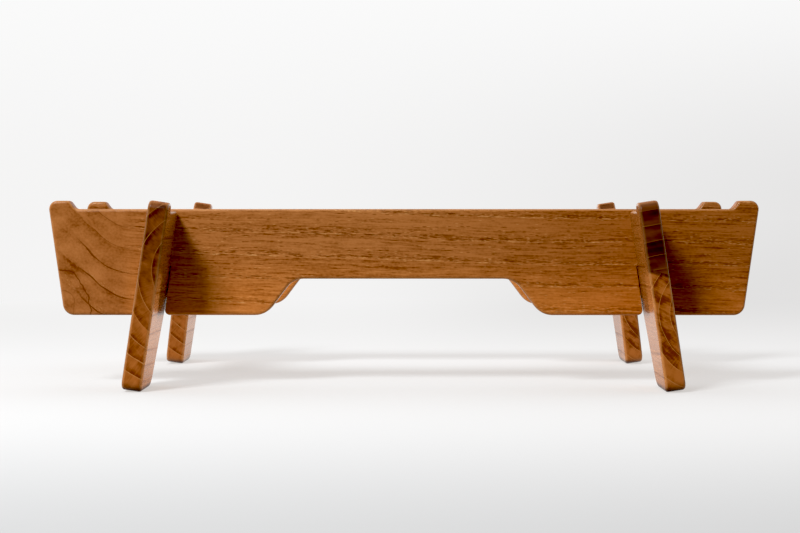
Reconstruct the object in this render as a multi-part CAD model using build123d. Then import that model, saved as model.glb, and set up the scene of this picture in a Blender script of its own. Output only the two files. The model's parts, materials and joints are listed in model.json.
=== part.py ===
from build123d import *

import os
from math import cos, radians, sin, tan

# A knock-down cooler stand of four flat teak boards, in millimetres and degrees.
# Two upright rails run along X, one in front and one behind. Two leg boards run along Y,
# tilted so that their feet spread. Every crossing is a cross lap that slides together:
# the rails are slotted from below, the leg boards from above, and nothing else holds them.
# The origin is on the floor, under the middle of the stand.

# Stock
BOARD_THICKNESS = 19.0
EDGE_ROUND = 3.0              # roundover along both faces of every board

# Seat, shared by the four boards
SEAT_HEIGHT = 169.0           # floor to the top edge of the rails
TAB_RISE = 8.0                # end tabs that keep the cooler from sliding off
TAB_TOP = 20.5                # level top of a tab, before its corners are rounded
TAB_SLOPE = 53.0              # inner side of a tab, from level
TAB_END_RADIUS = 8.0
TAB_HEAD_RADIUS = 4.0
TAB_FOOT_RADIUS = 5.0

# Rails
RAIL_LENGTH = 684.0           # at the tab tops, before the corners are rounded
RAIL_DEPTH = 102.0            # seat to bottom edge
RAIL_OVERHANG = 108.25        # end of a rail past a leg board's middle plane, at the floor of the laps
RAIL_END_SLANT = 8.0          # ends lean outwards, from upright
RAIL_CORNER_RADIUS = 11.0
RAIL_ARCH_WIDTH = 265.0       # at the bottom edge, before its corners are rounded
RAIL_ARCH_RISE = 35.0
RAIL_ARCH_SLOPE = 53.0        # from level
RAIL_ARCH_RADIUS = 21.0

# Leg boards
LEG_LENGTH = 394.0            # front to back
LEG_OVERHANG = 89.0           # end of a leg board past a rail's middle plane
LEG_TILT = 8.7                # from upright, feet outwards
FOOT_DEPTH = 70.0             # front to back, at the floor
FOOT_END_RADIUS = 10.0
FOOT_INNER_RADIUS = 14.0
LEG_INNER_SLANT = 17.0        # inner edge of a leg, from the board's own upright
LEG_ARCH_HEIGHT = 90.0        # floor to the top of the gap between the legs
LEG_ARCH_RADIUS = 25.0

# Cross laps
LAP_DEPTH = 53.0              # seat to the floor of the leg boards' slots
RAIL_SLOT_PLAY_INNER = 1.4    # the weight spreads the legs, so the play shows on the inner side
RAIL_SLOT_PLAY_OUTER = 0.3
LEG_SLOT_PLAY = 0.4           # on each face of a rail
SLOT_MOUTH_RADIUS = 5.0

# Spacings, levels and directions that follow from these
LEG_SPACING = RAIL_LENGTH - 2 * RAIL_OVERHANG   # between the boards' middle planes, at the lap floor
RAIL_SPACING = LEG_LENGTH - 2 * LEG_OVERHANG    # between the rails' middle planes
TAB_HEIGHT = SEAT_HEIGHT + TAB_RISE
RAIL_BOTTOM = SEAT_HEIGHT - RAIL_DEPTH
LAP_HEIGHT = SEAT_HEIGHT - LAP_DEPTH
TILT_COS = cos(radians(LEG_TILT))
TILT_SIN = sin(radians(LEG_TILT))
HALF_BOARD = BOARD_THICKNESS / 2
ROUND_CENTRE = HALF_BOARD - EDGE_ROUND          # roundover's centre, from the board's middle plane
CUT_MARGIN = BOARD_THICKNESS                    # how far a cutter reaches past the board


def slope_run(rise, degrees):
    """Level distance that a slope needs to climb a rise."""
    return rise / tan(radians(degrees))


def rounded_polygon(corners):
    """Closed face through (x, y, radius) corners, each rounded by its radius."""
    points = [(x, y) for x, y, radius in corners]
    radii = [radius for x, y, radius in corners]
    return make_face(FilletPolyline(*points, radius=radii, close=True))


def mirrored(half):
    """Corners of a symmetric outline, from the corners of its +x half."""
    return half + [(-x, y, radius) for x, y, radius in reversed(half)]


def tab_corners(half_length, seat):
    """Seat end and tab of a board's +x half, from the seat outwards."""
    tab = seat + TAB_RISE
    head = half_length - TAB_TOP
    foot = head - slope_run(TAB_RISE, TAB_SLOPE)
    return [
        (foot, seat, TAB_FOOT_RADIUS),
        (head, tab, TAB_HEAD_RADIUS),
        (half_length, tab, TAB_END_RADIUS),
    ]


def rounded_board(corners):
    """Flat board on the XY plane, rounded over along both faces."""
    board = extrude(rounded_polygon(corners), HALF_BOARD, both=True)
    edges_by_level = board.edges().group_by(Axis.Z)
    return fillet(edges_by_level[0] + edges_by_level[-1], EDGE_ROUND)


def cutter(corners):
    """Straight cut through a board that lies on the XY plane."""
    return extrude(rounded_polygon(corners), HALF_BOARD + CUT_MARGIN, both=True)


def leg_point(along, outward):
    """(x, z) in the right leg board: along its tilt from the lap floor, outward from its middle."""
    x = LEG_SPACING / 2 - along * TILT_SIN + outward * TILT_COS
    z = LAP_HEIGHT + along * TILT_COS + outward * TILT_SIN
    return x, z


def rail_slot_wall(outward):
    """Top and mouth of one wall of the right slot in a rail, as (x, z) points."""
    along_to_mouth = (RAIL_BOTTOM - LAP_HEIGHT - outward * TILT_SIN) / TILT_COS
    return leg_point(0, outward), leg_point(along_to_mouth, outward)


def rail_slot_cutter():
    """Cutter for the right slot of a rail, tilted as the leg board and flared at its mouth."""
    inner_top, inner_mouth = rail_slot_wall(-HALF_BOARD - RAIL_SLOT_PLAY_INNER)
    outer_top, outer_mouth = rail_slot_wall(HALF_BOARD + RAIL_SLOT_PLAY_OUTER)
    left = inner_mouth[0] - 2 * SLOT_MOUTH_RADIUS
    right = outer_mouth[0] + 2 * SLOT_MOUTH_RADIUS
    below = RAIL_BOTTOM - CUT_MARGIN
    return cutter([
        (*inner_top, 0),
        (*outer_top, 0),
        (*outer_mouth, SLOT_MOUTH_RADIUS),
        (right, RAIL_BOTTOM, 0),
        (right, below, 0),
        (left, below, 0),
        (left, RAIL_BOTTOM, 0),
        (*inner_mouth, SLOT_MOUTH_RADIUS),
    ])


def rail():
    """One rail on the XY plane, with x along the rail and y up from the floor."""
    half_top = RAIL_LENGTH / 2
    half_bottom = half_top - (TAB_HEIGHT - RAIL_BOTTOM) * tan(radians(RAIL_END_SLANT))
    arch_foot = RAIL_ARCH_WIDTH / 2
    arch_head = arch_foot - slope_run(RAIL_ARCH_RISE, RAIL_ARCH_SLOPE)
    half = tab_corners(half_top, SEAT_HEIGHT) + [
        (half_bottom, RAIL_BOTTOM, RAIL_CORNER_RADIUS),
        (arch_foot, RAIL_BOTTOM, RAIL_ARCH_RADIUS),
        (arch_head, RAIL_BOTTOM + RAIL_ARCH_RISE, RAIL_ARCH_RADIUS),
    ]
    right_slot = rail_slot_cutter()
    return rounded_board(mirrored(half)) - right_slot - mirror(right_slot, about=Plane.YZ)


def leg_seat_along():
    """Seat of a leg board along its tilt, where its highest edge is level with the rails."""
    return (LAP_DEPTH - EDGE_ROUND - ROUND_CENTRE * TILT_SIN) / TILT_COS + EDGE_ROUND


def leg_foot_along():
    """Foot of a leg board along its tilt, where its lowest edge touches the floor."""
    return (EDGE_ROUND + ROUND_CENTRE * TILT_SIN - LAP_HEIGHT) / TILT_COS - EDGE_ROUND


def leg_slot_cutter(seat):
    """Cutter for the slot that takes the rear rail, flared at its mouth."""
    wall = HALF_BOARD + LEG_SLOT_PLAY
    flare = wall + 2 * SLOT_MOUTH_RADIUS
    above = seat + CUT_MARGIN
    half = [
        (flare, above, 0),
        (flare, seat, 0),
        (wall, seat, SLOT_MOUTH_RADIUS),
        (wall, 0, 0),
    ]
    return Pos(RAIL_SPACING / 2, 0, 0) * cutter(mirrored(half))


def leg_board():
    """One leg board on the XY plane, with x front to back and y up from the lap floor."""
    half_length = LEG_LENGTH / 2
    seat = leg_seat_along()
    foot = leg_foot_along()
    arch = (LEG_ARCH_HEIGHT - LAP_HEIGHT) / TILT_COS
    foot_inner = half_length - FOOT_DEPTH
    arch_corner = foot_inner - (arch - foot) * tan(radians(LEG_INNER_SLANT))
    half = tab_corners(half_length, seat) + [
        (half_length, foot, FOOT_END_RADIUS),
        (foot_inner, foot, FOOT_INNER_RADIUS),
        (arch_corner, arch, LEG_ARCH_RADIUS),
    ]
    rear_slot = leg_slot_cutter(seat)
    return rounded_board(mirrored(half)) - rear_slot - mirror(rear_slot, about=Plane.YZ)


def placed_rail(y):
    """Rail stood upright with its middle plane at y."""
    return Pos(0, y, 0) * (Plane.XZ * rail())


def placed_left_leg_board():
    """Leg board tilted about the floor of its laps, on the -X side."""
    board_plane = Plane(
        origin=(-LEG_SPACING / 2, 0, LAP_HEIGHT),
        x_dir=(0, 1, 0),
        z_dir=(TILT_COS, 0, -TILT_SIN),
    )
    return board_plane * leg_board()


def main():
    left_leg_board = placed_left_leg_board()
    parts = {
        "front_rail": placed_rail(-RAIL_SPACING / 2),
        "rear_rail": placed_rail(RAIL_SPACING / 2),
        "left_leg_board": left_leg_board,
        "right_leg_board": mirror(left_leg_board, about=Plane.YZ),
    }
    os.makedirs("parts", exist_ok=True)
    for name, shape in parts.items():
        export_step(shape, f"parts/{name}.step")


main()
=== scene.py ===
import json
import math
from dataclasses import dataclass
from typing import Callable

import bmesh
import bpy
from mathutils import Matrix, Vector


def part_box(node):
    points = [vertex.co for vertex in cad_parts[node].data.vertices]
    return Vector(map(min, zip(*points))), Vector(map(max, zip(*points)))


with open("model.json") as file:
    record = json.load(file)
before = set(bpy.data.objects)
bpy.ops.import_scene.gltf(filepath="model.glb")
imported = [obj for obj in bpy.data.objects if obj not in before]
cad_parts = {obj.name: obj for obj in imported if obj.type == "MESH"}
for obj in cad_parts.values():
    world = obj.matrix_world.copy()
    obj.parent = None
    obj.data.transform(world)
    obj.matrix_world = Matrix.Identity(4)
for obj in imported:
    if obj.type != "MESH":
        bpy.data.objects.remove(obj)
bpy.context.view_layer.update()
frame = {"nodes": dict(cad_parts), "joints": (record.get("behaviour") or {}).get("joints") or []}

# A knock-down cooler stand of four oiled teak boards. Places are in metres, in the frame of the solids.
# Sizes inside the wood, such as growth rings, fibres and pores, are in millimetres.
# Smooth steps are given as pairs: where the step is 0, and where it is 1.

RIGHTWARD = (1.0, 0.0, 0.0)
REARWARD = (0.0, 1.0, 0.0)
UPWARD = (0.0, 0.0, 1.0)
MILLIMETRES = 1000.0                 # in a metre
BLACK = (0.0, 0.0, 0.0, 1.0)

# Camera
LENS = 85.0                          # millimetres, on a sensor 36 mm wide
CAMERA_PLACE = (0.0054, -1.930, 0.168)
CAMERA_DOWN = 1.71                   # degrees below level
CAMERA_LEFT = 0.28                   # degrees towards -X

# Picture
BLACK_LEVEL = 0.027

# Light
KEY_PLACE = (-1.48, -2.37, 2.45)
KEY_TARGET = (-0.40, -0.05, 0.08)
KEY_SIZE = 1.00
KEY_SPREAD = 72.0                    # degrees, so that the light falls off towards the right
KEY_POWER = 26.0
KEY_COLOUR = (1.0, 0.98, 0.95)
BOUNCE_SIZE = 0.11
BOUNCE_SPREAD = 34.0                 # degrees, so that most of the light reaches the front feet
BOUNCES = [                          # board, place, target and power
    ("left_leg_board", (1.20, 0.45, 0.06), (-0.25, -0.16, 0.035), 1.00),
    ("right_leg_board", (-1.20, 0.45, 0.06), (0.25, -0.16, 0.035), 0.82),
]
BACKDROP_LEFT = (0.912, 0.908, 0.906, 1.0)
BACKDROP_RIGHT = (0.765, 0.758, 0.756, 1.0)
BACKDROP_HIGH = (0.965, 0.965, 0.965, 1.0)
BACKDROP_ACROSS = (-0.12, 0.34)      # step from left to right, over a direction's part along X
BACKDROP_UP = (0.0, 0.14)            # step from low to high, over a direction's part along Z
SKY_BEHIND_STAND = 1.80              # how much of the backdrop's brightness lights the stand
SKY_BEHIND_CAMERA = 0.06
SKY_TURN = (-0.5, 0.6)               # step between the two, over a direction's part along Y

# Floor
FLOOR_RADIUS = 30.0
FLOOR_SEGMENTS = 96
FLOOR_COLOUR = (0.25, 0.27, 0.29, 1.0)
FLOOR_ROUGHNESS = 0.9
FLOOR_GLOW = (0.545, 0.515, 0.490, 1.0)
FLOOR_GLOW_FRONT = (0.295, 0.270, 0.248, 1.0)
FLOOR_FRONT = (-0.35, -1.10)         # where the glow fades towards the camera
FLOOR_FADE = (0.1, 1.7)              # where the floor turns into the backdrop behind the stand
FLOOR_EDGE = (1.0, 1.7)              # how far from the stand it does so all round
FLOOR_LIGHT_BEHIND = 1.20            # how much of the floor's brightness lights the stand
FLOOR_LIGHT_FRONT = 0.55
FLOOR_LIGHT_TURN = (-0.12, 0.04)     # where the one turns into the other

# Teak
TEAK_LIGHT = (0.345, 0.142, 0.052, 1.0)
TEAK_MID = (0.258, 0.099, 0.034, 1.0)
TEAK_DARK = (0.132, 0.038, 0.011, 1.0)
TEAK_PALE = (0.550, 0.290, 0.115, 1.0)    # ring lines, torn fibres, and arrises, which are rubbed pale and carry a painted highlight
TEAK_PORE = (0.085, 0.018, 0.004, 1.0)
HEART_TINT = (1.51, 1.44, 1.23, 1.0)
# Darker and redder towards the right end of the front rail
RIGHTWARD_TINT = (0.89, 0.81, 0.72, 1.0)
END_TINT = (1.02, 0.87, 0.70, 1.0)
# Tint of the darker upper part of the leg ends, and of the painted contact shadow along the feet's lower
# edges
DARK_TOP_AND_FOOT_SHADE_TINT = (0.21, 0.20, 0.30, 1.0)

# Surface
SPECULAR = 0.15
EARLY_ROUGHNESS = 0.04               # more than the board's own roughness, in early wood
END_ROUGHNESS = 0.10                 # and on the ends
TOP_ROUGHNESS = 0.40                 # and on top
BUMP_STRENGTH = 0.30
BUMP_HEIGHT = 0.0004                 # metres
FIBRE_HEIGHT = 0.006                 # share of the bump's height
# Paleness of the arrises: partly wear, partly a painted highlight along them
ARRIS_WEAR_AND_HIGHLIGHT = 0.24
ARRIS_DARK_TOP = 0.6                     # share of that which the darker upper part of the leg ends loses
FOOT_CONTACT_SHADE = (6.0, 1.5)               # heights between which the feet darken, as a painted contact shadow

# Which way a surface faces, as steps over the parts of its normal
END_FACING = (0.55, 0.90)
TOP_FACING = (0.3, 0.9)
ARRIS_OFF_FACE = (0.985, 0.80)
ARRIS_OFF_EDGE = (0.10, 0.40)

# Growth rings, as steps from one ring line at 0 to the next at 1
EARLY_WOOD = (0.34, 0.08)
RING_LINE = (0.075, 0.015)
SEAM_INSIDE = (0.06, 0.09)
SEAM_OUTSIDE = (0.21, 0.13)
LATE_WOOD = (0.70, 1.0)
END_LATE_WOOD = (0.60, 0.97)
UNEVEN_RADIUS = 31.0                 # over which the rings' width varies
UNEVEN_LENGTH = 900.0
UNEVENNESS = 0.5                     # rings
RING_FUZZ = 0.12                     # rings by which fine streaks blur the ring lines

# Course of the grain
SWAY_LENGTH = 260.0
SWAY_WIDTH = 70.0
SWAY = 9.0
SWAY_DEEP = 0.6                      # share of it across the board's thickness
GRAIN_FALL = 0.012                   # of straight grain, per length
SWIRL_FALL = 0.026                   # of swirled grain, per length
SWIRL_START = -258.0                 # along the board, where the swirl begins to climb
SWIRL_RUN = 48.0
SWIRL_POWER = 2.2
SWIRL_HASTE = 0.43                   # how soon the climb is complete
SWIRL_CLIMB = 70.0
WANDER_SIZES = (45.0, 38.0, 90.0)
WANDER_START = (-262.0, -300.0)      # along the board
WANDER = 14.0
LEVEL_START = (27.8, 28.8)           # heights above the pith where the rings turn level
LEVEL_SLANT = 0.45                   # how far those heights drop across the board's thickness
LEVEL_REACH = (178.0, 196.0)         # distances from the board's middle where they do so
LEVEL_SQUEEZE_UP = 0.2               # how much less height counts there
LEVEL_SQUEEZE_DEEP = 0.85            # and depth in the board

# Knot, whose beat goes from 0 in its middle to 2 at its reach
KNOT_BEATS = 2.0
KNOT_WOBBLE_SIZES = (15.0, 15.0, 60.0)
KNOT_WOBBLE = 0.7                    # beats
KNOT_LINE = (0.055, 0.012)
KNOT_LINE_DARKNESS = 0.62
KNOT_SHADE = (0.28, 0.0)
KNOT_SHADE_DARKNESS = 0.16
KNOT_OUTSIDE = (2.45, 2.2)
KNOT_INSIDE = (0.4, 1.6)

# Long faces, where a tint of 0 is light and 1 is dark
LONG_TINT = 0.32
LONG_RING_TINT = 0.16
FINE_TINT = 1.9
LEATHER_SIZES = (2.2, 2.0, 6.0)
LEATHER_DETAIL = 3.0
LEATHER_TINT = 0.95
CLOUD_LENGTH = 26.0
CLOUD_HEIGHT = 15.0
CLOUD_TINT = 1.6
LATE_TINT = 0.24
CALM_FEWER = 0.92                    # share of the streaks and pores that calm wood lacks
HEART_FEWER = 0.35                   # share that the heart lacks
LONG_DARK_TOP = 0.7
LINE_PALENESS = 0.52
LINE_GAP_LEVELS = (-0.03, 0.12)      # noise levels at which a ring line is missing, and whole
SPECK_HEIGHT = (118.0, 104.0)
SEAM_DARKNESS = 0.62
SEAM_WIDTH = 1.2
SEAM_LENGTH = 0.7                    # share of the board's fibre
SEAM_SHIFT = 17.0
SWIRL_DARKNESS = 0.95
SWIRL_GAP_LEVELS = (-0.24, 0.02)     # noise levels at which a line of the swirl is missing, and whole
SWIRL_LEFT_END = (-322.0, -300.0)    # along the board, where the lines of the swirl fade
SWIRL_TONES = (-0.80, 0.0)           # ring tones between which they fade

# Ends
RAYS = 60.0                          # per radian about the pith
RAY_LENGTH = 16.0
RAY_DEPTH = 50.0
RAY_TINT = 0.9
MOTTLE_SIZE = 8.0
MOTTLE_DEPTH = 40.0
MOTTLE_DETAIL = 3.0
MOTTLE_TINT = 0.9
MOTTLE_PATCHES = 1.3                 # how much more the mottling tints a board with patches
SWATH_DEEP = 0.6                     # direction across the swaths
SWATH_UP = 0.8
SWATH_WIDTH = 7.0
SWATH_LENGTH = 26.0
SWATH_DEPTH = 60.0
SWATH_DETAIL = 4.0
SWATH_ROUGHNESS = 0.6
SWATH_LEVELS = (-0.10, 0.16)         # noise levels at which a swath is missing, and full
SWATH_HEIGHT = (6.0, 30.0)
SWATH_DARK_TOP = 0.8                     # share of the swaths that the darker upper part of the ends hides
END_DARK_TOP_TINT = 0.22
END_RING_TINT = 0.35
END_LATE_TINT = 0.45
END_DARK_TOP = 0.92
END_DARK_TOP_MOTTLE = 0.8
END_LINE_PALENESS = 0.34
END_LINE_TONE = 0.3
END_LINE_DARK_TOP = 0.55                 # share of the ring lines' paleness that the darker upper part loses

# Steps that reach no part of a board
NOWHERE = (900.0, 901.0)
NO_KNOT = (-900.0, 0.0, 1.0, 1.0)

# Sockets of a node that mixes colours
MIX_FACTOR = 0
MIX_FIRST = 6
MIX_SECOND = 7
MIX_RESULT = 2


class Value:
    """A socket whose value varies over a surface. Python's operators on it add Math nodes."""

    def __init__(self, wiring, socket):
        self.wiring = wiring
        self.socket = socket

    def other(self, output):
        """Another output of the same node."""
        return Value(self.wiring, self.socket.node.outputs[output])

    def __add__(self, other):
        return self.wiring.math("ADD", self, other)

    def __sub__(self, other):
        return self.wiring.math("SUBTRACT", self, other)

    def __rsub__(self, other):
        return self.wiring.math("SUBTRACT", other, self)

    def __mul__(self, other):
        return self.wiring.math("MULTIPLY", self, other)

    def __truediv__(self, other):
        return self.wiring.math("DIVIDE", self, other)

    def __abs__(self):
        return self.wiring.math("ABSOLUTE", self)

    __radd__ = __add__
    __rmul__ = __mul__


class Wiring:
    """A node tree while it is being wired."""

    def __init__(self, tree):
        self.tree = tree
        tree.nodes.clear()

    def node(self, kind, settings, inputs, output=0):
        """Adds a node, with its settings first and then the values or links of its sockets."""
        made = self.tree.nodes.new(kind)
        for name, value in settings.items():
            setattr(made, name, value)
        for key, value in inputs.items():
            if isinstance(value, Value):
                self.tree.links.new(value.socket, made.inputs[key])
            else:
                made.inputs[key].default_value = value
        return Value(self, made.outputs[output]) if made.outputs else None

    def math(self, operation, *values):
        return self.node("ShaderNodeMath", {"operation": operation}, dict(enumerate(values)))

    def largest(self, first, *others):
        for other in others:
            first = self.math("MAXIMUM", first, other)
        return first

    def vector(self, x, y, z):
        return self.node("ShaderNodeCombineXYZ", {}, {0: x, 1: y, 2: z})

    def scaled(self, place, sizes):
        """Place divided by a size on each axis, so that noise there has features of these sizes."""
        return self.vector(*[value / size for value, size in zip(place, sizes)])

    def dot(self, vector, direction):
        settings = {"operation": "DOT_PRODUCT"}
        return self.node("ShaderNodeVectorMath", settings, {0: vector, 1: direction}, output="Value")

    def step(self, value, low, high):
        """Smooth step from 0 at low to 1 at high. With high below low it falls instead."""
        settings = {"interpolation_type": "SMOOTHSTEP"}
        return self.node("ShaderNodeMapRange", settings, {0: value, 1: low, 2: high})

    def mix(self, blend_type, factor, first, second):
        settings = {"data_type": "RGBA", "blend_type": blend_type, "clamp_factor": True}
        inputs = {MIX_FACTOR: factor, MIX_FIRST: first, MIX_SECOND: second}
        return self.node("ShaderNodeMix", settings, inputs, output=MIX_RESULT)

    def blend(self, factor, first, second):
        """Colour that goes from first to second."""
        return self.mix("MIX", factor, first, second)

    def stain(self, factor, colour, tint):
        """Colour multiplied by a tint, as far as the factor says."""
        return self.mix("MULTIPLY", factor, colour, tint)

    def noise(self, vector, detail=2.0, roughness=0.5):
        """Noise around 0, mostly between -0.3 and 0.3."""
        inputs = {"Vector": vector, "Scale": 1.0, "Detail": detail, "Roughness": roughness}
        return self.node("ShaderNodeTexNoise", {}, inputs) - 0.5


@dataclass
class Streaks:
    """Noise drawn out along the grain. Its shift sets it apart from the others."""

    length: float
    width: float
    shift: float
    strength: float = 1.0
    detail: float = 2.0
    roughness: float = 0.55


@dataclass
class Dashes:
    """Separate dashes along the grain, in a share of the places where one fits."""

    length: float
    width: float
    shift: float
    strength: float
    early_share: float               # how much greater the share is in early wood
    share: float = 0.0
    size: float = 0.45               # of a dash, in its place
    core: float = 0.55               # share of that size inside which it has its full strength


FINE_WIDTH = 1.1                     # of the fine streaks, which are as long as the board's fibres
FINE_DETAIL = 3.0
MIDDLE_STREAKS = Streaks(70.0, 2.2, 7.0, strength=1.6)
BROAD_STREAKS = Streaks(190.0, 12.0, 13.0, strength=0.60)
SHIMMER = Streaks(34.0, 60.0, 19.0, strength=0.35)
FLECKS = Streaks(3.0, 1.8, 29.0)
LINE_GAPS = Streaks(9.0, 1.2, 11.0)
SWIRL_GAPS = Streaks(24.0, 3.0, 41.0)
SANDING = Streaks(90.0, 11.0, 23.0)
TORN_FIBRES = Dashes(4.5, 0.8, 3.0, strength=0.40, early_share=0.42, share=0.05)
PORES = Dashes(6.0, 0.8, 5.0, strength=0.74, early_share=0.44, share=0.06)
VESSELS = Dashes(13.0, 0.9, 9.0, strength=0.82, early_share=0.38, share=0.03)
SPECKS = Dashes(1.8, 1.5, 37.0, strength=0.25, early_share=0.5, size=0.5)


@dataclass
class Board:
    """A board's length and width directions, and how it was sawn from the tree."""

    node: str
    along: Vector
    up: Vector
    pith: Vector
    ring_width: float
    ring_start: float
    seed: float
    figure: Callable
    heart: tuple = NOWHERE           # radii between which the wood turns more orange
    rightward_darkening: tuple = NOWHERE          # stretch along the board over which the colour turns darker and redder towards the right
    fibre: float = 16.0              # length of the fine streaks
    contrast: float = 1.0            # of the fine streaks
    seams: tuple = (0.0, 0.14)       # noise levels between which the dark seams at the rings show
    calm: tuple = NOWHERE            # stretch along the board where the grain dives in and its lines are few
    knot: tuple = NO_KNOT            # middle along the board and above the floor, and reach along and up
    dark_top: tuple = NOWHERE            # heights between which the ends turn darker towards the top
    dark_top_slant: float = 0.0          # how far those heights drop across the board's thickness
    dark_top_share: float = 0.0
    dark_top_reach: tuple = NOWHERE      # distances from the middle past which the long faces turn darker too
    end_depth: float = 0.2           # darkness of the ends
    patches: float = 0.2             # strength of the dark patches on the ends
    roughness: float = 0.22


@dataclass
class Grain:
    """The wood at each point of a board: places in it in millimetres, and masks."""

    along: Value
    up: Value
    deep: Value
    level: Value
    radius: Value
    ring: Value
    tone: Value
    fine: Value
    early: Value
    line: Value
    calm: Value
    knot: Value
    dark_top: Value
    ends: Value
    arris: Value
    top: Value

    @property
    def place(self):
        """Place in the board, as its figure bends the grain."""
        return self.along, self.up, self.deep


def straight_figure(wiring, along, up, deep):
    """Nearly straight grain, falling a little along the board."""
    return up + along * GRAIN_FALL, deep


def swirled_figure(wiring, along, up, deep):
    """Grain that falls gently to the right, and climbs ever more steeply towards the left end."""
    past_start = wiring.math("MAXIMUM", (along - SWIRL_START) / -SWIRL_RUN, 0.0)
    turn = wiring.math("POWER", past_start, SWIRL_POWER)
    climb = SWIRL_CLIMB - wiring.math("EXPONENT", turn * -SWIRL_HASTE) * SWIRL_CLIMB
    wander = wiring.noise(wiring.scaled((along, up, deep), WANDER_SIZES))
    wander = wander * wiring.step(along, *WANDER_START) * WANDER
    return up + along * SWIRL_FALL - climb + wander, deep


def flattened_figure(wiring, along, up, deep):
    """Nearly straight grain, whose rings run level across the upper part of the board's ends."""
    level = wiring.step(up + deep * LEVEL_SLANT, *LEVEL_START) * wiring.step(abs(along), *LEVEL_REACH)
    up, deep = straight_figure(wiring, along, up, deep)
    return up * (1.0 - level * LEVEL_SQUEEZE_UP), deep * (1.0 - level * LEVEL_SQUEEZE_DEEP)


def drawn_out(wiring, board, place, pattern):
    """Place divided by a pattern's length and width, and moved by its shift and the board's seed."""
    along, up, deep = place
    start = board.seed + pattern.shift
    return wiring.vector(along / pattern.length + start, up / pattern.width, deep / pattern.width)


def streaks(wiring, board, place, pattern):
    """Noise drawn out along the grain, around 0."""
    stretched = drawn_out(wiring, board, place, pattern)
    return wiring.noise(stretched, pattern.detail, pattern.roughness) * pattern.strength


def dashes(wiring, board, grain, pattern):
    """Separate dashes along the grain: the pattern's strength inside them, 0 outside."""
    stretched = drawn_out(wiring, board, grain.place, pattern)
    spots = wiring.node("ShaderNodeTexVoronoi", {"feature": "F1"}, {"Vector": stretched, "Scale": 1.0})
    inside = wiring.step(spots, pattern.size, pattern.size * pattern.core)
    chance = wiring.dot(spots.other("Color"), (1.0, 0.0, 0.0))
    share = grain.early * pattern.early_share + pattern.share
    return inside * wiring.math("LESS_THAN", chance, share) * pattern.strength


def ring_count(wiring, board, along, radius):
    """Growth rings from the pith, which are unevenly wide."""
    uneven = wiring.noise(wiring.vector(radius / UNEVEN_RADIUS, board.seed, along / UNEVEN_LENGTH))
    return radius / board.ring_width - board.ring_start + uneven * UNEVENNESS


def knot_rings(wiring, board, along, level, deep):
    """Thin dark rings about a small knot, at half its reach and at its full reach."""
    middle, height, reach_along, reach_up = board.knot
    aside = (along - middle) / reach_along
    rise = (level - height) / reach_up
    wobble = wiring.noise(wiring.scaled((along, level, deep), KNOT_WOBBLE_SIZES)) * KNOT_WOBBLE
    beat = wiring.math("SQRT", aside * aside + rise * rise) * KNOT_BEATS + wobble
    off_ring = abs(wiring.math("FRACT", beat + 0.5) - 0.5)
    line = wiring.step(off_ring, *KNOT_LINE) * KNOT_LINE_DARKNESS
    shade = wiring.step(off_ring, *KNOT_SHADE) * KNOT_SHADE_DARKNESS
    return (line + shade) * wiring.step(beat, *KNOT_OUTSIDE) * wiring.step(beat, *KNOT_INSIDE)


def read_grain(wiring, board):
    """Where each point of a board lies in the tree."""
    place = wiring.node("ShaderNodeTexCoord", {}, {}, output="Object")
    normal = wiring.node("ShaderNodeTexCoord", {}, {}, output="Normal")
    through = board.along.cross(board.up)
    along, up, deep = [
        wiring.dot(place, tuple(direction * MILLIMETRES)) - board.pith.dot(direction) * MILLIMETRES
        for direction in (board.along, board.up, through)
    ]
    level = wiring.dot(place, (0.0, 0.0, MILLIMETRES))
    ends = wiring.step(abs(wiring.dot(normal, tuple(board.along))), *END_FACING)
    flat = abs(wiring.dot(normal, tuple(through)))
    knot = knot_rings(wiring, board, along, level, deep)
    dark_top = wiring.step(level + deep * board.dark_top_slant, *board.dark_top) * board.dark_top_share

    swaying = wiring.vector(along / SWAY_LENGTH + board.seed, up / SWAY_WIDTH, deep / SWAY_WIDTH)
    sway = wiring.noise(swaying) * SWAY
    up, deep = board.figure(wiring, along, up + sway, deep + sway * SWAY_DEEP)
    fine_streaks = Streaks(board.fibre, FINE_WIDTH, 0.0, detail=FINE_DETAIL)
    fine = streaks(wiring, board, (along, up, deep), fine_streaks)

    radius = wiring.math("SQRT", up * up + deep * deep)
    count = ring_count(wiring, board, along, radius) + fine * (1.0 - ends) * RING_FUZZ
    index = wiring.math("FLOOR", count)
    tone = wiring.node("ShaderNodeTexWhiteNoise", {"noise_dimensions": "1D"}, {"W": index + board.seed})
    ring = wiring.math("FRACT", count)
    return Grain(
        along=along,
        up=up,
        deep=deep,
        level=level,
        radius=radius,
        ring=ring,
        tone=tone - 0.5,
        fine=fine,
        early=wiring.step(ring, *EARLY_WOOD),
        line=wiring.step(ring, *RING_LINE),
        calm=wiring.step(along, *board.calm),
        knot=knot,
        dark_top=dark_top,
        ends=ends,
        arris=wiring.step(flat, *ARRIS_OFF_FACE) * wiring.step(flat, *ARRIS_OFF_EDGE),
        top=wiring.step(wiring.dot(normal, UPWARD), *TOP_FACING),
    )


def three_tone(wiring, tint):
    """Teak from light at 0 through the middle tone at 0.5 to dark at 1."""
    colour = wiring.blend(tint * 2.0, TEAK_LIGHT, TEAK_MID)
    return wiring.blend(tint * 2.0 - 1.0, colour, TEAK_DARK)


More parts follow.
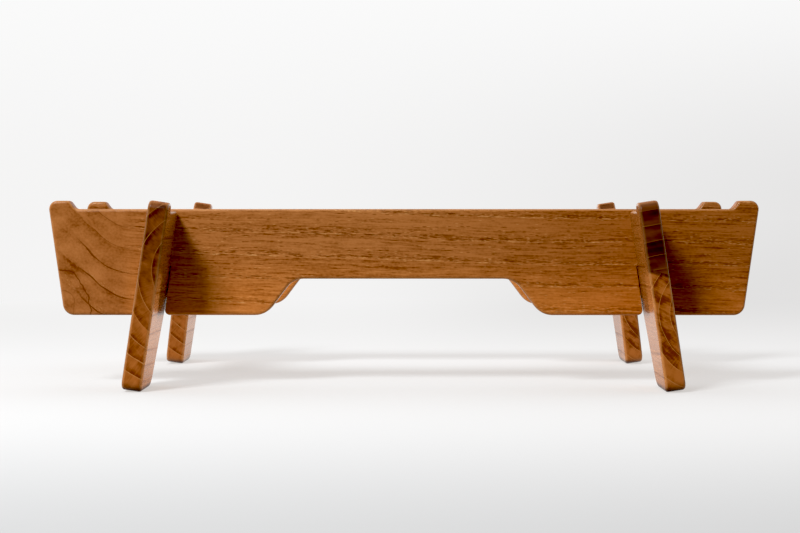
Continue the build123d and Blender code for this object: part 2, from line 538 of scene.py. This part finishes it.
def long_tint(wiring, board, grain, busy):
    """Tint of the long faces: streaks of several sizes, and a leathery mottling where the wood is calm."""
    broad = streaks(wiring, board, grain.place, BROAD_STREAKS)
    shimmer = streaks(wiring, board, grain.place, SHIMMER)
    middle = streaks(wiring, board, grain.place, MIDDLE_STREAKS)
    flecks = streaks(wiring, board, grain.place, FLECKS)
    leather_place = wiring.scaled((grain.along, grain.level, grain.deep), LEATHER_SIZES)
    leather = wiring.noise(leather_place, LEATHER_DETAIL)
    cloud_place = wiring.vector(grain.along / CLOUD_LENGTH, grain.level / CLOUD_HEIGHT, board.seed)
    clouds = wiring.noise(cloud_place)
    late = wiring.step(grain.ring, *LATE_WOOD)
    tint = LONG_TINT + grain.tone * LONG_RING_TINT + broad + shimmer
    tint = tint + (grain.fine * FINE_TINT + middle + flecks) * busy
    return tint + (leather * LEATHER_TINT + clouds * CLOUD_TINT + late * LATE_TINT) * grain.calm


def pale_marks(wiring, board, grain):
    """How pale the torn fibres and ring lines are, and the specks where the wood is calm."""
    torn = dashes(wiring, board, grain, TORN_FIBRES)
    whole = wiring.step(streaks(wiring, board, grain.place, LINE_GAPS), *LINE_GAP_LEVELS)
    marks = (torn + grain.line * whole * LINE_PALENESS) * (1.0 - grain.calm) * board.contrast
    specks = dashes(wiring, board, grain, SPECKS) * wiring.step(grain.level, *SPECK_HEIGHT)
    return marks + specks * grain.calm


def dark_marks(wiring, board, grain, busy):
    """How dark the pores, the seams beside the ring lines, the lines of the swirl and the knot are."""
    pores = dashes(wiring, board, grain, PORES)
    vessels = dashes(wiring, board, grain, VESSELS)
    seam_gaps = Streaks(board.fibre * SEAM_LENGTH, SEAM_WIDTH, SEAM_SHIFT)
    seam = wiring.step(streaks(wiring, board, grain.place, seam_gaps), *board.seams)
    seam = seam * wiring.step(grain.ring, *SEAM_INSIDE) * wiring.step(grain.ring, *SEAM_OUTSIDE)
    whole = wiring.step(streaks(wiring, board, grain.place, SWIRL_GAPS), *SWIRL_GAP_LEVELS)
    fading = wiring.step(grain.along, *SWIRL_LEFT_END) * wiring.step(grain.tone, *SWIRL_TONES)
    swirl = grain.line * grain.calm * fading * whole * SWIRL_DARKNESS
    return wiring.largest(
        wiring.largest(pores, vessels) * busy,
        seam * (1.0 - grain.calm) * SEAM_DARKNESS,
        swirl,
        grain.knot,
    )


def long_grain(wiring, board, grain):
    """Colour of what runs along the grain: fine streaks, and dashes of pores above each ring line."""
    heart = wiring.step(grain.radius, *board.heart) * (1.0 - grain.calm)
    busy = (1.0 - grain.calm * CALM_FEWER) * (1.0 - heart * HEART_FEWER) * board.contrast
    colour = three_tone(wiring, long_tint(wiring, board, grain, busy))
    colour = wiring.stain(heart, colour, HEART_TINT)
    colour = wiring.stain(wiring.step(grain.along, *board.rightward_darkening), colour, RIGHTWARD_TINT)
    dark_top_near_ends = wiring.step(abs(grain.along), *board.dark_top_reach) * LONG_DARK_TOP
    colour = wiring.stain(grain.dark_top * dark_top_near_ends, colour, DARK_TOP_AND_FOOT_SHADE_TINT)
    colour = wiring.blend(pale_marks(wiring, board, grain), colour, TEAK_PALE)
    return wiring.blend(dark_marks(wiring, board, grain, busy), colour, TEAK_PORE)


def dark_swaths(wiring, board, grain):
    """Dark swaths that run aslant across an end, above its foot."""
    across = grain.deep * SWATH_DEEP + grain.up * SWATH_UP
    place = wiring.vector(
        across / SWATH_WIDTH, grain.deep / SWATH_LENGTH + board.seed, grain.along / SWATH_DEPTH
    )
    swath = wiring.step(wiring.noise(place, SWATH_DETAIL, SWATH_ROUGHNESS), *SWATH_LEVELS)
    return swath * (1.0 - grain.dark_top * SWATH_DARK_TOP) * wiring.step(grain.level, *SWATH_HEIGHT)


def cross_grain(wiring, board, grain):
    """Colour of the ends: rings about the pith, rays across them, and a darker upper part, which on the left
    leg is painted shade.
    """
    angle = wiring.math("ARCTAN2", grain.up, grain.deep)
    rays = wiring.noise(wiring.vector(angle * RAYS, grain.radius / RAY_LENGTH, grain.along / RAY_DEPTH))
    mottle_place = wiring.vector(
        grain.up / MOTTLE_SIZE, grain.deep / MOTTLE_SIZE, grain.along / MOTTLE_DEPTH + board.seed
    )
    mottle = wiring.noise(mottle_place, MOTTLE_DETAIL)
    late = wiring.step(grain.ring, *END_LATE_WOOD)
    tint = board.end_depth + grain.dark_top * END_DARK_TOP_TINT + dark_swaths(wiring, board, grain) * board.patches
    tint = tint + mottle * (MOTTLE_TINT + board.patches * MOTTLE_PATCHES) + rays * RAY_TINT
    tint = tint + grain.tone * END_RING_TINT + late * END_LATE_TINT
    colour = wiring.stain(1.0, three_tone(wiring, tint), END_TINT)
    colour = wiring.stain(grain.dark_top * (END_DARK_TOP + mottle * END_DARK_TOP_MOTTLE), colour, DARK_TOP_AND_FOOT_SHADE_TINT)
    pale = (END_LINE_PALENESS + mottle + grain.tone * END_LINE_TONE) * (1.0 - grain.dark_top * END_LINE_DARK_TOP)
    return wiring.blend(grain.line * pale, colour, TEAK_PALE)


def teak_colour(wiring, board, grain):
    """Colour all over a board, with arrises paled by wear and by a painted highlight, and a painted contact
    shadow along the feet's lower edges.
    """
    long_colour = long_grain(wiring, board, grain)
    end_colour = cross_grain(wiring, board, grain)
    colour = wiring.blend(grain.ends, long_colour, end_colour)
    # Arrises paled by wear and by a painted highlight
    rubbed_and_highlit = grain.arris * (1.0 - grain.dark_top * ARRIS_DARK_TOP) * ARRIS_WEAR_AND_HIGHLIGHT
    colour = wiring.blend(rubbed_and_highlit, colour, TEAK_PALE)
    # Painted contact shadow: the feet darken towards their lower edges
    return wiring.stain(wiring.step(grain.level, *FOOT_CONTACT_SHADE), colour, DARK_TOP_AND_FOOT_SHADE_TINT)


def oiled_teak(board):
    """Solid teak under satin oil: rings, fibres and pores run through the board as they do in the tree."""
    material = bpy.data.materials.new("oiled_teak_" + board.node)
    material.use_nodes = True
    wiring = Wiring(material.node_tree)
    grain = read_grain(wiring, board)
    roughness = board.roughness + grain.early * EARLY_ROUGHNESS
    roughness = roughness + grain.ends * END_ROUGHNESS + grain.top * TOP_ROUGHNESS
    height = streaks(wiring, board, grain.place, SANDING) + grain.fine * FIBRE_HEIGHT
    bump = {"Strength": BUMP_STRENGTH, "Distance": BUMP_HEIGHT, "Height": height}
    shader = wiring.node(
        "ShaderNodeBsdfPrincipled",
        {},
        {
            "Base Color": teak_colour(wiring, board, grain),
            "Roughness": roughness,
            "Normal": wiring.node("ShaderNodeBump", {}, bump),
            "Specular IOR Level": SPECULAR,
        },
    )
    wiring.node("ShaderNodeOutputMaterial", {}, {"Surface": shader})
    return material


def boards():
    """The four boards, with directions taken from the frame."""
    left_up = Vector(frame["joints"][0]["axis"])
    right_up = Vector((-left_up.x, 0.0, left_up.z))
    front, rear = [(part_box(name)[0].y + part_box(name)[1].y) / 2 for name in ("front_rail", "rear_rail")]
    rail = {"along": Vector(RIGHTWARD), "up": Vector(UPWARD)}
    leg_board = {
        "along": Vector(REARWARD),
        "fibre": 150.0,
        "contrast": 0.45,
        "seams": (-0.16, 0.04),
        "dark_top_reach": (189.0, 197.0),
        "roughness": 0.25,
    }
    return [
        Board(
            node="front_rail",
            **rail,
            pith=Vector((0.0, front + 0.223, -0.080)),
            ring_width=14.0,
            ring_start=0.04,
            seed=1.7,
            figure=swirled_figure,
            heart=(318.0, 275.0),
            rightward_darkening=(-40.0, 260.0),
            calm=(-248.0, -275.0),
            knot=(-332.0, 70.0, 31.0, 42.0),
        ),
        Board(
            node="rear_rail",
            **rail,
            pith=Vector((0.0, rear - 0.060, 0.020)),
            ring_width=12.0,
            ring_start=0.30,
            seed=4.1,
            figure=straight_figure,
            heart=(120.0, 80.0),
        ),
        Board(
            node="left_leg_board",
            **leg_board,
            up=left_up,
            pith=Vector((-0.187, 0.0, 0.108)),
            ring_width=13.6,
            ring_start=0.27,
            seed=8.3,
            figure=straight_figure,
            # Painted shade: the end darkens towards the top, away from the light that the floor throws on
            # its lower part
            dark_top=(20.0, 150.0),
            dark_top_share=0.74,
            end_depth=0.32,
            patches=0.30,
        ),
        Board(
            node="right_leg_board",
            **leg_board,
            up=right_up,
            pith=Vector((0.2834, 0.0, 0.0706)),
            ring_width=11.0,
            ring_start=0.42,
            seed=12.9,
            figure=flattened_figure,
            # A dark band in the wood, above this height
            dark_top=(94.0, 97.0),
            dark_top_slant=0.29,
            dark_top_share=1.0,
            end_depth=0.0,
            patches=0.95,
        ),
    ]


def dress_boards():
    for board in boards():
        node = frame["nodes"][board.node]
        node.data.materials.clear()
        node.data.materials.append(oiled_teak(board))


def floor():
    """Wide pale floor that the stand is set on."""
    mesh = bpy.data.meshes.new("floor")
    shape = bmesh.new()
    bmesh.ops.create_circle(shape, cap_ends=True, segments=FLOOR_SEGMENTS, radius=FLOOR_RADIUS)
    shape.to_mesh(mesh)
    shape.free()
    mesh.materials.append(floor_paper())
    made = bpy.data.objects.new("floor", mesh)
    bpy.context.scene.collection.objects.link(made)


def floor_paper():
    """Matt white paper lit by the key, with a painted glow that stands in for the rest of the studio light,
    dimmer towards the camera, which turns into the backdrop away from the stand.
    """
    material = bpy.data.materials.new("floor_paper")
    material.use_nodes = True
    wiring = Wiring(material.node_tree)
    place = wiring.node("ShaderNodeTexCoord", {}, {}, output="Object")
    outwards = wiring.node("ShaderNodeVectorMath", {"operation": "NORMALIZE"}, {0: place})
    distance = wiring.node("ShaderNodeVectorMath", {"operation": "LENGTH"}, {0: place}, output="Value")
    depth = wiring.dot(place, REARWARD)
    away = wiring.largest(wiring.step(depth, *FLOOR_FADE), wiring.step(distance, *FLOOR_EDGE))
    glow = wiring.blend(wiring.step(depth, *FLOOR_FRONT), FLOOR_GLOW, FLOOR_GLOW_FRONT)
    glow = wiring.blend(away, glow, backdrop(wiring, outwards))
    behind = wiring.step(depth, *FLOOR_LIGHT_TURN)
    strength = seen_or_lighting(wiring, behind, FLOOR_LIGHT_FRONT, FLOOR_LIGHT_BEHIND)
    shader = wiring.node(
        "ShaderNodeBsdfPrincipled",
        {},
        {
            "Base Color": wiring.blend(away, FLOOR_COLOUR, BLACK),
            "Roughness": FLOOR_ROUGHNESS,
            "Specular IOR Level": 0.0,
            "Emission Color": wiring.stain(1.0, glow, strength),
            "Emission Strength": 1.0,
        },
    )
    wiring.node("ShaderNodeOutputMaterial", {}, {"Surface": shader})
    return material


def backdrop(wiring, direction):
    """White backdrop in a direction from the stand, brighter at the left and high up."""
    rise = wiring.step(wiring.dot(direction, UPWARD), *BACKDROP_UP)
    right = wiring.step(wiring.dot(direction, RIGHTWARD), *BACKDROP_ACROSS)
    low = wiring.blend(right, BACKDROP_LEFT, BACKDROP_RIGHT)
    return wiring.blend(rise, low, BACKDROP_HIGH)


def seen_or_lighting(wiring, behind, front_share, behind_share):
    """1 for what the camera sees, and else the share of it that lights the stand, in front and behind."""
    lit = behind * (behind_share - front_share) + front_share
    seen = wiring.node("ShaderNodeLightPath", {}, {}, output="Is Camera Ray")
    return lit + seen * (1.0 - lit)


def sky():
    """White backdrop all round, which lights the stand from behind and hardly from the camera's side."""
    world = bpy.data.worlds.new("studio")
    world.use_nodes = True
    bpy.context.scene.world = world
    wiring = Wiring(world.node_tree)
    direction = wiring.node("ShaderNodeTexCoord", {}, {}, output="Generated")
    behind = wiring.step(wiring.dot(direction, REARWARD), *SKY_TURN)
    strength = seen_or_lighting(wiring, behind, SKY_BEHIND_CAMERA, SKY_BEHIND_STAND)
    inputs = {"Color": backdrop(wiring, direction), "Strength": strength}
    background = wiring.node("ShaderNodeBackground", {}, inputs)
    wiring.node("ShaderNodeOutputWorld", {}, {"Surface": background})


def square_light(name, place, target, size, power):
    """Soft square light that shines from a place towards a target."""
    data = bpy.data.lights.new(name, "AREA")
    data.shape = "SQUARE"
    data.size = size
    data.energy = power
    light = bpy.data.objects.new(name, data)
    light.visible_camera = False
    light.location = place
    light.rotation_euler = (Vector(target) - Vector(place)).to_track_quat("-Z", "Y").to_euler()
    bpy.context.scene.collection.objects.link(light)
    return light


def key_light():
    """Light in front of the stand, above it and to the left."""
    light = square_light("key", KEY_PLACE, KEY_TARGET, KEY_SIZE, KEY_POWER)
    light.data.spread = math.radians(KEY_SPREAD)
    light.data.color = KEY_COLOUR


def bounce_lights():
    """Low lights at the sides, each for the inner side of the leg board across from it."""
    for board, place, target, power in BOUNCES:
        receivers = bpy.data.collections.new("lit_" + board)
        receivers.objects.link(frame["nodes"][board])
        light = square_light("bounce_" + board, place, target, BOUNCE_SIZE, power)
        light.data.spread = math.radians(BOUNCE_SPREAD)
        light.visible_glossy = False
        light.light_linking.receiver_collection = receivers


def camera():
    data = bpy.data.cameras.new("camera")
    data.lens = LENS
    made = bpy.data.objects.new("camera", data)
    made.location = CAMERA_PLACE
    made.rotation_euler = (math.radians(90.0 - CAMERA_DOWN), 0.0, math.radians(CAMERA_LEFT))
    bpy.context.scene.collection.objects.link(made)
    bpy.context.scene.camera = made


def develop():
    """Plain picture settings, with blacks as deep as a studio photograph's."""
    settings = bpy.context.scene.view_settings
    settings.view_transform = "Standard"
    settings.use_curve_mapping = True
    settings.curve_mapping.black_level = [BLACK_LEVEL] * 3


dress_boards()
floor()
sky()
key_light()
bounce_lights()
camera()
develop()
